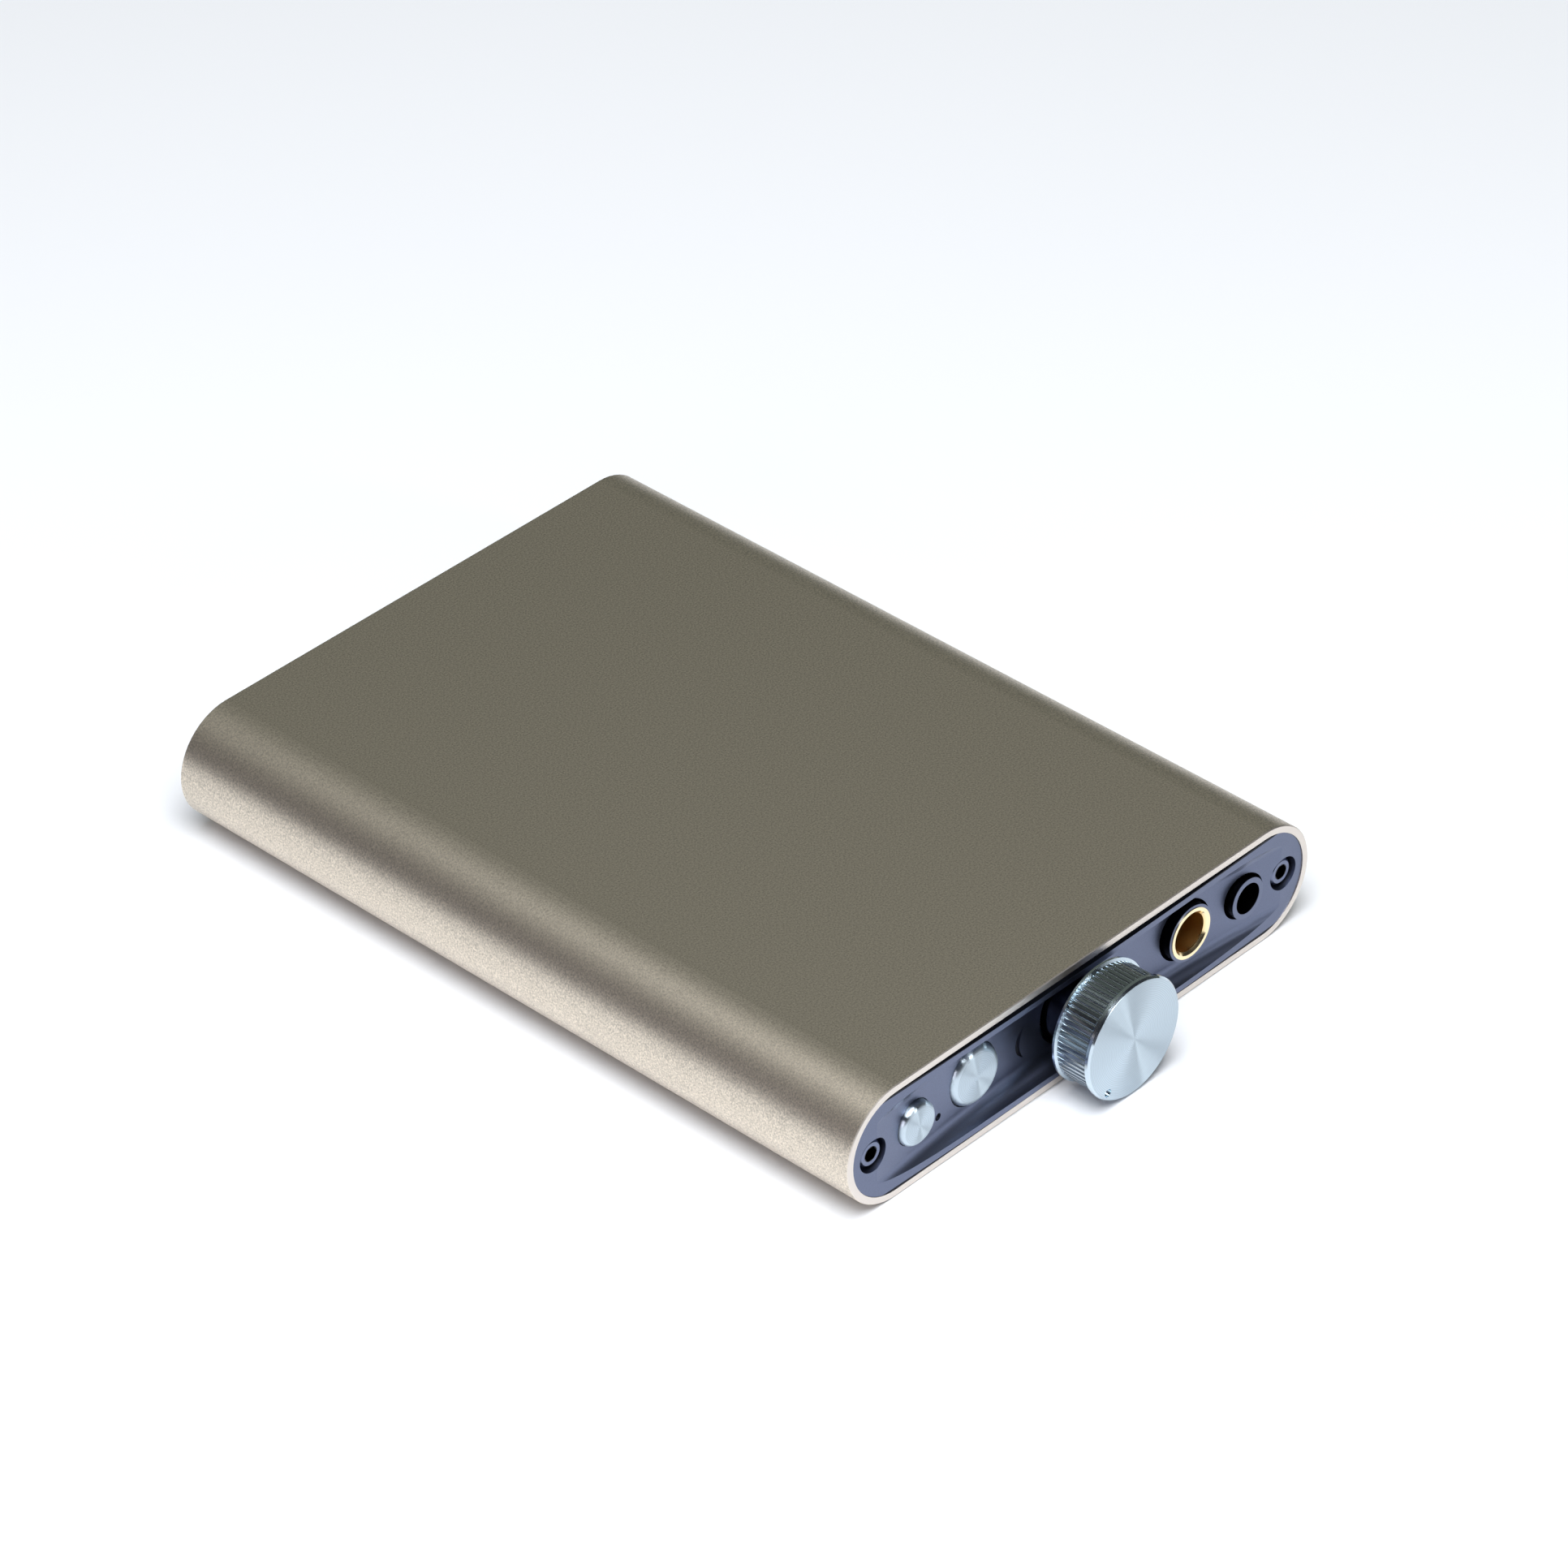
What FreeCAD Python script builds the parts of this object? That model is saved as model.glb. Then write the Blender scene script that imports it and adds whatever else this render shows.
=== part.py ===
"""Pocket desktop DAC and headphone amplifier in a flask-shaped aluminium sleeve.

Millimetres, +Z up. The front panel faces -Y, and the push buttons are on the -X side.
The origin is under the middle of the whole object, knob included, on the surface it stands on.
"""
import FreeCAD, Part
import math
import os
import re

import Sketcher

Vector = FreeCAD.Vector
doc = FreeCAD.newDocument("desktop_dac")
nodes = []

# ---------------------------------------------------------------- driving dimensions

DIMENSIONS = [
    # sleeve
    ("case_width", 70), ("case_height", 14), ("case_length", 95.7), ("case_wall", 0.85),
    ("edge_bevel", 0.12), ("screw_spread", 31.15), ("boss_radius", 2.0), ("boss_outer", 34.2),
    ("thread_radius", 0.8), ("rail_inner", 30.6), ("rail_outer", 32.9), ("rail_height", 0.7),
    ("upper_rail_outer", 33.8), ("upper_rail_height", 0.65), ("slot_gap", 0.05),
    # end panels
    ("panel_gap", 0.03), ("panel_inset", 0.05), ("panel_depth", 4), ("panel_lip", 1.0),
    ("crown_rise", 0.34), ("crown_chord", 31), ("dish_depth", 2), ("dish_chord", 31),
    ("dish_corner", 1.6),
    ("rear_inset", 0.3), ("rear_depth", 3),
    ("bore_spot_radius", 1.95), ("bore_spot_depth", 2.05), ("screw_hole_radius", 0.95),
    # screws
    ("head_radius", 1.5), ("head_top", 0.45), ("head_bevel", 0.2), ("hex_radius", 0.87),
    ("hex_depth", 0.9), ("shank_start", 1), ("screw_end", 9),
    # volume control
    ("knob_reach", 6.7), ("knob_radius", 6.9), ("knob_face_radius", 6.7), ("knob_bevel", 0.25),
    ("lip_width", 0.35), ("knurl_radius", 6.55), ("knurl_start", 2.15), ("knurl_end", 5.75),
    ("flange_radius", 6.86), ("flange_back", 1.6), ("flange_bevel", 0.15), ("flange_front", 2.0),
    ("groove_radius", 0.2), ("groove_run", 6.05), ("groove_count", 64),
    ("neck_radius", 4), ("neck_depth", 2.4), ("neck_hole_radius", 4.55),
    ("dimple_radius", 0.48), ("dimple_depth", 0.3), ("dimple_x", -3.92), ("dimple_z", -4.61),
    ("shaft_radius", 3), ("shaft_flat", 1.5), ("shaft_front", 5), ("shaft_back", 10.5),
    ("bush_radius", 3.6), ("bush_bore", 3.05), ("bush_front", 2.7),
    ("pot_width", 9.8), ("pot_height", 10.6), ("pot_front", 4.6), ("pot_depth", 6.8),
    ("pin_radius", 0.35), ("pin_pitch", 1.56), ("pin_length", 3), ("pin_rise", 1),
    # push buttons
    ("small_button_x", -24.6), ("small_button_radius", 2.5), ("small_button_face", -0.15),
    ("large_button_x", -15.1), ("large_button_radius", 3.5), ("large_button_face", 0.8),
    ("small_button_round", 0.6), ("large_button_round", 0.84),
    ("button_gap", 0.1), ("button_flange", 0.5), ("flange_start", 4.1),
    ("flange_width", 0.6), ("button_travel", 0.4), ("stem_radius", 0.8), ("stem_end", 6.9),
    ("stem_gap", 0.08), ("switch_front", 5.6), ("switch_depth", 3.4), ("switch_width", 4.4),
    ("switch_height", 5.2), ("switch_cavity", 1.9),
    # headphone sockets
    ("small_jack_x", 25.4), ("small_jack_front", 0), ("small_jack_collar", 2.4),
    ("small_jack_bore", 1.8), ("small_jack_hole", 2.72), ("small_jack_width", 6.4),
    ("small_jack_height", 5.2), ("small_jack_length", 14),
    ("large_jack_x", 17), ("large_jack_front", 0.5), ("large_jack_collar", 3.28),
    ("large_jack_ring", 2.95), ("large_jack_bore", 2.25), ("large_jack_hole", 3.6),
    ("large_jack_width", 8.2), ("large_jack_height", 8.6), ("large_jack_length", 19),
    ("jack_body_front", 4.2), ("ring_length", 6), ("ring_proud", 0.08), ("ring_bevel", 0.3),
    ("jack_end_wall", 1.5),
    ("contact_width", 0.9), ("contact_depth", 0.3), ("contact_length", 2.2),
    ("contact_gap", 0.04),
    # indicator lights
    ("light_height", 5.0), ("dot_x", -20.6), ("dot_radius", 0.43), ("dot_sink", 1.4),
    ("arc_reach", 8.3), ("arc_thickness", 0.62), ("arc_height", 6.15), ("arc_outer", 2.05),
    ("arc_inner", 3.2), ("arc_sink", 2.2), ("light_back", 5.2), ("led_size", 1.2), ("led_height", 1.8),
    ("rear_light_sink", 0.2),
    # circuit board
    ("board_bottom", 3.2), ("board_thickness", 1.2), ("board_half_width", 31.4),
    ("board_front", 5.2), ("board_back", 92.2), ("notch_back", 24), ("notch_gap", 0.3),
    ("chip_height", 0.9), ("dac_size", 7), ("dac_row", 33), ("usb_chip_size", 9), ("usb_row", 63),
    ("amp_width", 5), ("amp_length", 4), ("amp_height", 1.6), ("amp_x", 14), ("amp_row", 28),
    ("clock_width", 3.2), ("clock_length", 5), ("clock_height", 1.2), ("clock_x", 5),
    ("clock_row", 45), ("film_width", 2.5), ("film_length", 3.2), ("film_height", 2.2),
    ("film_x", 10), ("film_pitch_x", 4), ("film_row", 38), ("film_pitch_y", 6),
    ("can_radius", 1.6), ("can_height", 2.6), ("can_x", -25), ("can_pitch_x", 5),
    ("can_row", 38), ("can_pitch_y", 7), ("inductor_size", 5.5), ("inductor_height", 2.8),
    ("inductor_x", 18), ("inductor_row", 73),
    # battery
    ("battery_width", 54), ("battery_front", 27), ("battery_length", 48), ("battery_bottom", 7.5),
    ("battery_height", 5), ("battery_corner", 2), ("pad_width", 30), ("pad_length", 30),
    ("pad_height", 0.65), ("pad_offset", 9), ("lead_radius", 0.5), ("lead_bend", 1.8), ("lead_x", -20),
    ("lead_pitch", 1.6), ("lead_run", 1.2), ("plug_width", 5), ("plug_depth", 3.4),
    ("plug_height", 3.2),
    # rear sockets
    ("port_x", 12), ("port_width", 8.94), ("port_height", 3.16), ("port_length", 7.4),
    ("port_wall", 0.3), ("port_gap", 0.15), ("port_inset", 0.5), ("port_z", 6),
    ("tongue_width", 6.7), ("tongue_height", 0.7), ("tongue_length", 5.2), ("port_back", 1.2),
    # how far cutters run past the faces that they cut
    ("over", 1),
]

sheet = doc.addObject("Spreadsheet::Sheet", "Size")
size = {}
for row, (alias, value) in enumerate(DIMENSIONS, start=1):
    sheet.set(f"A{row}", alias)
    sheet.set(f"B{row}", str(value))
    sheet.setAlias(f"B{row}", alias)
    size[alias] = value
doc.recompute()

# Places along Y are given as a depth behind the sleeve's front edge.
FRONT = "(knob_reach - case_length) / 2"
REAR = "(knob_reach + case_length) / 2"
AXIS_HEIGHT = "case_height / 2"
BOARD_TOP = "board_bottom + board_thickness"

# Spring contacts of the headphone sockets: how deep each one starts, and on which side of the bore.
SMALL_CONTACTS = [(5, 1), (9, -1), (13, 1)]
LARGE_CONTACTS = [(7.5, 1), (10, -1), (12.5, 1), (15, -1), (17.5, 1)]

ALONG_Y = FreeCAD.Rotation(Vector(1, 0, 0), -90)
ALONG_MINUS_Y = FreeCAD.Rotation(Vector(1, 0, 0), 90)


def behind(depth):
    return f"{FRONT} + {depth}"


# ---------------------------------------------------------------- helpers

def formula(text):
    """Turn the dimension names in a formula into references to the sheet."""
    return re.sub(r"[a-z]\w*", lambda word: "Size." + word.group(), str(text))


def bind(item, **formulas):
    for name, text in formulas.items():
        item.setExpression(name, formula(text))


def place(item, x, y, z, turn=None):
    """Bind an object's position, and turn it about that position."""
    item.Placement = FreeCAD.Placement(Vector(), turn or FreeCAD.Rotation())
    for axis, text in (("x", x), ("y", y), ("z", z)):
        item.setExpression("Placement.Base." + axis, formula(text))
    return item


def box(name, width, depth, height, x, y, z):
    """A box centred on x, that starts at y and stands on z."""
    item = doc.addObject("Part::Box", name)
    bind(item, Length=width, Width=depth, Height=height)
    return place(item, f"{x} - ({width}) / 2", y, z)


def rod(name, radius, length, x, y, z=AXIS_HEIGHT, turn=ALONG_Y):
    """A round bar from the point given, along +Y unless it is turned."""
    item = doc.addObject("Part::Cylinder", name)
    bind(item, Radius=radius, Height=length)
    return place(item, x, y, z, turn)


def cone(name, radius, end_radius, length, x, y, z=AXIS_HEIGHT, turn=ALONG_Y):
    item = doc.addObject("Part::Cone", name)
    bind(item, Radius1=radius, Radius2=end_radius, Height=length)
    return place(item, x, y, z, turn)


def upright(name, radius, height, x, y, z):
    return rod(name, radius, height, x, y, z, FreeCAD.Rotation())


def join(name, pieces):
    item = doc.addObject("Part::MultiFuse", name)
    item.Shapes = pieces
    item.Refine = True
    return item


def cut(name, base, tools):
    item = doc.addObject("Part::Cut", name)
    item.Base = base
    item.Tool = tools[0] if len(tools) == 1 else join(name + "_tools", tools)
    item.Refine = True
    return item


def group(name, pieces):
    """Separate solids that share one node."""
    item = doc.addObject("Part::Compound", name)
    item.Links = pieces
    return item


def rounded(name, base, radius, edges):
    item = doc.addObject("Part::Fillet", name)
    item.Base = base
    item.Edges = [(number, size[radius], size[radius]) for number in edges]
    return item


def edges_along(shape, direction):
    """Numbers of the straight edges that run along a direction."""
    found = []
    for number, edge in enumerate(shape.Edges, start=1):
        straight = edge.Curve.TypeId == "Part::GeomLine"
        if straight and abs(edge.tangentAt(edge.FirstParameter).dot(direction)) > 0.99:
            found.append(number)
    return found


def circles_of(shape):
    """Numbers of a shape's circular edges."""
    return [number for number, edge in enumerate(shape.Edges, start=1)
            if edge.Curve.TypeId == "Part::GeomCircle"]


def edges_at_depth(shape, depth):
    """Numbers of the edges that lie wholly in one plane across Y, at a depth."""
    level = (size["knob_reach"] - size["case_length"]) / 2 + depth
    found = []
    for number, edge in enumerate(shape.Edges, start=1):
        limits = edge.BoundBox
        if abs(limits.YMin - level) < 1e-4 and abs(limits.YMax - level) < 1e-4:
            found.append(number)
    return found


def stadium(name, width, height, length, x, y, z=AXIS_HEIGHT):
    """A bar along Y with a flat top and bottom and half-round sides, centred on x and z."""
    straight = f"({width}) - ({height})"
    radius = f"({height}) / 2"
    pieces = [box(name + "_middle", straight, length, height, x, y, f"{z} - {radius}")]
    for side, sign in (("left", "-"), ("right", "+")):
        pieces.append(rod(f"{name}_{side}", radius, length, f"{x} {sign} ({straight}) / 2", y, z))
    return join(name, pieces)


def common(name, base, tool):
    item = doc.addObject("Part::Common", name)
    item.Base = base
    item.Tool = tool
    return item


def arc_radius(half_chord, rise):
    """The radius of an arc that rises this much over half of its chord."""
    return f"({half_chord} * {half_chord} + {rise} * {rise}) / (2 * {rise})"


def node(item, name):
    item.Label = name
    nodes.append(item)
    return item


def body(name):
    return doc.addObject("PartDesign::Body", name)


def sketch_on(owner, role, name, lift="0"):
    """A sketch on one of a body's own origin planes, lifted along the plane's normal."""
    plane = next(item for item in owner.Origin.OriginFeatures if item.Role == role)
    sketch = owner.newObject("Sketcher::SketchObject", name)
    sketch.AttachmentSupport = [(plane, "")]
    sketch.MapMode = "FlatFace"
    sketch.setExpression("AttachmentOffset.Base.z", formula(lift))
    return sketch


def fix_point(sketch, geometry, point, x, y):
    for kind, text in (("DistanceX", x), ("DistanceY", y)):
        number = sketch.addConstraint(Sketcher.Constraint(kind, -1, 1, geometry, point, 1.0))
        sketch.setExpression(f"Constraints[{number}]", formula(text))


def draw_circle(sketch, radius, x, y):
    number = sketch.addGeometry(Part.Circle(Vector(1, 1, 0), Vector(0, 0, 1), 1), False)
    fix_point(sketch, number, 3, x, y)
    limit = sketch.addConstraint(Sketcher.Constraint("Radius", number, 1.0))
    sketch.setExpression(f"Constraints[{limit}]", formula(radius))


def draw_outline(sketch, points):
    """A closed outline of straight lines through points given as formulas."""
    count = len(points)
    first = sketch.GeometryCount
    for number in range(count):
        start = Vector(number, number * number, 0)
        following = (number + 1) % count
        end = Vector(following, following * following, 0)
        sketch.addGeometry(Part.LineSegment(start, end), False)
    for number, (x, y) in enumerate(points):
        following = first + (number + 1) % count
        sketch.addConstraint(Sketcher.Constraint("Coincident", first + number, 2, following, 1))
        fix_point(sketch, first + number, 1, x, y)


def draw_rectangle(sketch, left, right, bottom, top):
    draw_outline(sketch, [(left, bottom), (right, bottom), (right, top), (left, top)])


def draw_stadium(sketch, width, height, inset):
    """Half circles about two centres on the sketch's X axis, joined by two lines."""
    radius = size[height] / 2 - size.get(inset, 0)
    centre = (size[width] - size[height]) / 2
    quarter = math.pi / 2

    def half_circle(x, start):
        circle = Part.Circle(Vector(x, 0, 0), Vector(0, 0, 1), radius)
        return sketch.addGeometry(Part.ArcOfCircle(circle, start, start + 2 * quarter))

    def line(x, y):
        return sketch.addGeometry(Part.LineSegment(Vector(x, y, 0), Vector(-x, y, 0)))

    right = half_circle(centre, -quarter)
    top = line(centre, radius)
    left = half_circle(-centre, quarter)
    low = line(-centre, -radius)
    outline = (right, top, left, low)
    for number, first in enumerate(outline):
        second = outline[(number + 1) % len(outline)]
        sketch.addConstraint(Sketcher.Constraint("Tangent", first, 2, second, 1))
    sketch.addConstraint(Sketcher.Constraint("Symmetric", left, 3, right, 3, -1, 1))
    sketch.addConstraint(Sketcher.Constraint("Horizontal", top))
    limit = sketch.addConstraint(Sketcher.Constraint("Radius", right, radius))
    sketch.setExpression(f"Constraints[{limit}]", formula(f"{height} / 2 - {inset}"))
    span = sketch.addConstraint(Sketcher.Constraint("DistanceX", left, 3, right, 3, 2 * centre))
    sketch.setExpression(f"Constraints[{span}]", formula(f"{width} - {height}"))


def pad(owner, sketch, name, length):
    item = owner.newObject("PartDesign::Pad", name)
    item.Profile = sketch
    item.setExpression("Length", formula(length))
    return item


def pocket(owner, sketch, name, depth):
    """A pocket that cuts against the sketch's normal."""
    item = owner.newObject("PartDesign::Pocket", name)
    item.Profile = sketch
    item.setExpression("Length", formula(depth))
    return item


# ---------------------------------------------------------------- sleeve and end panels

def outer_rims(shape):
    """Numbers of the edges round the outside of a tube's two ends, in the tube's own frame."""
    found = []
    for number, edge in enumerate(shape.Edges, start=1):
        limits = edge.BoundBox
        flat = limits.YLength < 1e-6
        on_end = limits.YMax > -1e-6 or limits.YMin < 1e-6 - size["case_length"]
        outside = max(abs(limits.ZMax), abs(limits.ZMin)) > size["case_height"] / 2 - 1e-6
        if flat and on_end and outside:
            found.append(number)
    return found


def case_sleeve():
    """An extruded tube with a screw boss and two board rails inside each round side."""
    sleeve = body("case_sleeve_body")
    place(sleeve, "0", REAR, AXIS_HEIGHT)
    wall = sketch_on(sleeve, "XZ_Plane", "sleeve_section")
    draw_stadium(wall, "case_width", "case_height", "0")
    draw_stadium(wall, "case_width", "case_height", "case_wall")
    tube = pad(sleeve, wall, "sleeve_tube", "case_length")
    doc.recompute()
    inner_start = "rear_inset + rear_depth + slot_gap"
    inner_run = "case_length - panel_depth - rear_inset - rear_depth - 2 * slot_gap"
    board_low = "board_bottom - slot_gap - case_height / 2"
    board_high = "board_bottom + board_thickness + slot_gap - case_height / 2"
    for name, inner, outer, low, high in (
        ("bosses", "(screw_spread - boss_radius)", "boss_outer", "-boss_radius", "boss_radius"),
        ("rails", "rail_inner", "rail_outer", f"{board_low} - rail_height", board_low),
        ("upper_rails", "rail_inner", "upper_rail_outer", board_high, f"{board_high} + upper_rail_height"),
    ):
        section = sketch_on(sleeve, "XZ_Plane", f"{name}_section", inner_start)
        for sign in ("", "-"):
            draw_rectangle(section, sign + inner, sign + outer, low, high)
        pad(sleeve, section, f"sleeve_{name}", inner_run)
    doc.recompute()
    holes = sketch_on(sleeve, "XZ_Plane", "thread_holes", "case_length + over")
    for sign in ("", "-"):
        draw_circle(holes, "thread_radius", f"{sign}screw_spread", "0")
    threads = pocket(sleeve, holes, "sleeve_threads", "case_length + 2 * over")
    doc.recompute()
    bevel = sleeve.newObject("PartDesign::Chamfer", "sleeve_edges")
    bevel.Base = (threads, [f"Edge{number}" for number in outer_rims(threads.Shape)])
    bevel.setExpression("Size", formula("edge_bevel"))
    sleeve.Tip = bevel
    return sleeve


def panel_plug(name, depth, y):
    """A stadium that fills the sleeve's opening."""
    width = "case_width - 2 * case_wall - 2 * panel_gap"
    height = "case_height - 2 * case_wall - 2 * panel_gap"
    return stadium(name, width, height, depth, "0", y)


def screw_holes(name, spot_start, through_start, through):
    """Counterbores and clearance holes for the two screws of an end panel."""
    spot_depth = "bore_spot_depth + over"
    tools = []
    for side, sign in (("left", "-"), ("right", "")):
        x = f"{sign}screw_spread"
        tools.append(rod(f"{name}_{side}_spot", "bore_spot_radius", spot_depth, x, spot_start))
        tools.append(rod(f"{name}_{side}_hole", "screw_hole_radius", through, x, through_start))
    return tools


def crescent(name, start, length, side):
    """A lune that bulges away from the knob, between two arcs of different radius."""
    outer_x = f"{side} * (arc_reach - arc_outer)"
    inner_x = f"{side} * (arc_reach - arc_thickness - arc_inner)"
    outer = rod(f"{name}_outer", "arc_outer", length, outer_x, start, "arc_height")
    inner = rod(f"{name}_inner", "arc_inner", f"{length} + 2 * over", inner_x, f"{start} - over",
                "arc_height")
    return cut(name, outer, [inner])


def panel_blank():
    """A plug with a crowned face, bevelled above and below where it stands proud of the sleeve."""
    front = "panel_inset - crown_rise"
    plug = panel_plug("front_plug", f"panel_depth - ({front})", behind(front))
    doc.recompute()
    bevelled = doc.addObject("Part::Chamfer", "front_bevelled")
    bevelled.Base = plug
    rise = size["crown_rise"]
    edges = edges_at_depth(plug.Shape, size["panel_inset"] - rise)
    bevelled.Edges = [(number, rise, rise) for number in edges]
    curve = arc_radius("crown_chord", "crown_rise")
    crown = upright("front_crown", curve, "case_height", "0", behind(f"{front} + {curve}"), "0")
    return common("front_blank", bevelled, crown)


def front_panel():
    """The front plug, dished about an upright axis between two lips, with soft inner corners."""
    curve = arc_radius("dish_chord", "dish_depth")
    lip = "case_wall + panel_gap + panel_lip"
    drum_height = f"case_height - 2 * ({lip})"
    drum = upright("dish_drum", curve, drum_height, "0", behind(f"dish_depth - {curve}"), lip)
    doc.recompute()
    start = behind("-over")
    through = "panel_depth + 2 * over"
    tools = [rounded("dish", drum, "dish_corner", circles_of(drum.Shape)),
             rod("knob_hole", "neck_hole_radius", through, "0", start),
             rod("dot_hole", "dot_radius", through, "dot_x", start, "light_height")]
    for x, radius in (("small_button_x", "small_button_radius + button_gap"),
                      ("large_button_x", "large_button_radius + button_gap"),
                      ("large_jack_x", "large_jack_hole"), ("small_jack_x", "small_jack_hole")):
        tools.append(rod(x + "_hole", radius, through, x, start))
    for name, side in (("left", "-1"), ("right", "1")):
        tools.append(crescent(name + "_arc_hole", start, through, side))
    tools += screw_holes("front", start, start, through)
    return cut("front_panel_cut", panel_blank(), tools)


def rear_panel():
    """A flat plug with two USB windows, an indicator hole and two screws."""
    start = f"{REAR} - rear_inset - rear_depth"
    plug = panel_plug("rear_plug", "rear_depth", start)
    before = f"{start} - over"
    through = "rear_depth + 2 * over"
    width = "port_width + 2 * port_gap"
    height = "port_height + 2 * port_gap"
    tools = [rod("rear_dot_hole", "dot_radius", through, "0", before, "port_z")]
    for name, x in (("data_window", "-port_x"), ("charge_window", "port_x")):
        tools.append(stadium(name, width, height, through, x, before, "port_z"))
    spot = f"{REAR} - rear_inset + panel_inset - bore_spot_depth"
    tools += screw_holes("rear", spot, before, through)
    return cut("rear_panel_cut", plug, tools)


def cap_screw(name, x, face, toward):
    """A hex-socket cap screw whose head top is just behind face, pointing to +Y or to -Y."""
    turn = ALONG_Y if toward == "+" else ALONG_MINUS_Y

    def along(distance):
        return f"{face} {toward} ({distance})"

    top = cone(name + "_top", "head_radius - head_bevel", "head_radius", "head_bevel", x, along("head_top"),
               turn=turn)
    head = rod(name + "_head", "head_radius", "bore_spot_depth - head_top - head_bevel", x,
               along("head_top + head_bevel"), turn=turn)
    shank = rod(name + "_shank", "thread_radius", "screw_end - head_top - shank_start", x,
                along("head_top + shank_start"), turn=turn)
    socket = doc.addObject("Part::Prism", name + "_socket")
    socket.Polygon = 6
    bind(socket, Circumradius="hex_radius", Height="hex_depth + over")
    place(socket, x, along("head_top - over"), AXIS_HEIGHT, turn)
    return cut(name, join(name + "_solid", [top, head, shank]), [socket])


def screws(name, face, toward):
    return group(name, [cap_screw(f"{name}_left", "-screw_spread", face, toward),
                        cap_screw(f"{name}_right", "screw_spread", face, toward)])


# ---------------------------------------------------------------- volume control

def volume_knob():
    """A turned knob: straight knurl between a rear flange and a front lip, with a dimple on its face."""
    knob = body("volume_knob_body")
    place(knob, "0", FRONT, AXIS_HEIGHT, ALONG_MINUS_Y)
    section = sketch_on(knob, "XZ_Plane", "knob_section")
    draw_outline(section, [
        ("0", "shaft_front"), ("shaft_radius", "shaft_front"), ("shaft_radius", "-neck_depth"),
        ("neck_radius", "-neck_depth"), ("neck_radius", "flange_back"),
        ("flange_radius - flange_bevel", "flange_back"), ("flange_radius", "flange_back + flange_bevel"),
        ("flange_radius", "flange_front"), ("knurl_radius", "knurl_start"), ("knurl_radius", "knurl_end"),
        ("knob_radius", "knurl_end + lip_width"), ("knob_radius", "knob_reach - knob_bevel"),
        ("knob_face_radius", "knob_reach"), ("0", "knob_reach")])
    turned = knob.newObject("PartDesign::Revolution", "knob_turned")
    turned.Profile = section
    turned.ReferenceAxis = (section, ["V_Axis"])
    turned.Angle = 360
    doc.recompute()
    groove = sketch_on(knob, "XY_Plane", "groove_section", "groove_run")
    draw_circle(groove, "groove_radius", "knurl_radius + groove_radius / 4", "0")
    run = pocket(knob, groove, "knob_groove", "groove_run - knurl_start")
    doc.recompute()
    knurl = knob.newObject("PartDesign::PolarPattern", "knob_knurl")
    knurl.Originals = [run]
    knurl.Axis = (groove, ["N_Axis"])
    knurl.Angle = 360
    knurl.setExpression("Occurrences", formula("groove_count"))
    knob.Tip = knurl
    doc.recompute()
    mark = sketch_on(knob, "XY_Plane", "dimple_outline", "knob_reach")
    draw_circle(mark, "dimple_radius", "dimple_x", "dimple_z")
    dimple = pocket(knob, mark, "knob_dimple", "dimple_depth")
    knob.Tip = dimple
    return knob


def volume_shaft():
    """The control's shaft, with a flat that keys it to the knob."""
    bar = rod("shaft_bar", "shaft_radius", "shaft_front + shaft_back", "0", behind("-shaft_front"))
    flat = box("shaft_flat_cut", "4 * shaft_radius", "shaft_front + neck_depth + over", "2 * shaft_radius",
               "0", behind("-shaft_front - over"), f"{AXIS_HEIGHT} + shaft_flat")
    return cut("shaft_cut", bar, [flat])


def knob_key():
    """The part of the knob's bore beside the shaft's flat."""
    bar = rod("key_bar", "shaft_radius", "shaft_front + neck_depth", "0", behind("-shaft_front"))
    flat = box("key_flat", "4 * shaft_radius", "shaft_front + neck_depth", "2 * shaft_radius", "0",
               behind("-shaft_front"), f"{AXIS_HEIGHT} + shaft_flat")
    return common("knob_key", bar, flat)


def volume_control():
    node(join("knob_with_key", [volume_knob(), knob_key()]), "volume_knob")
    node(volume_shaft(), "volume_shaft")
    bush = rod("bush_bar", "bush_radius", "pot_front - bush_front", "0", behind("bush_front"))
    bush_hole = rod("bush_hole", "bush_bore", "pot_front - bush_front + 2 * over", "0",
                    behind("bush_front - over"))
    node(cut("bush_cut", bush, [bush_hole]), "volume_bush")
    pot = box("pot_block", "pot_width", "pot_depth", "pot_height", "0", behind("pot_front"),
              f"{AXIS_HEIGHT} - pot_height / 2")
    cavity = rod("pot_cavity", "bush_bore", "shaft_back - pot_front + slot_gap + over", "0",
                 behind("pot_front - over"))
    node(cut("pot_cut", pot, [cavity]), "volume_control_body")
    pins = []
    for number in (-2, -1, 0, 1, 2):
        pins.append(rod(f"pot_pin_{number + 3}", "pin_radius", "pin_length", f"{number} * pin_pitch",
                        behind("pot_front + pot_depth"), f"{BOARD_TOP} + pin_rise"))
    node(group("pot_pins", pins), "volume_control_pins")


# ---------------------------------------------------------------- push buttons

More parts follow.
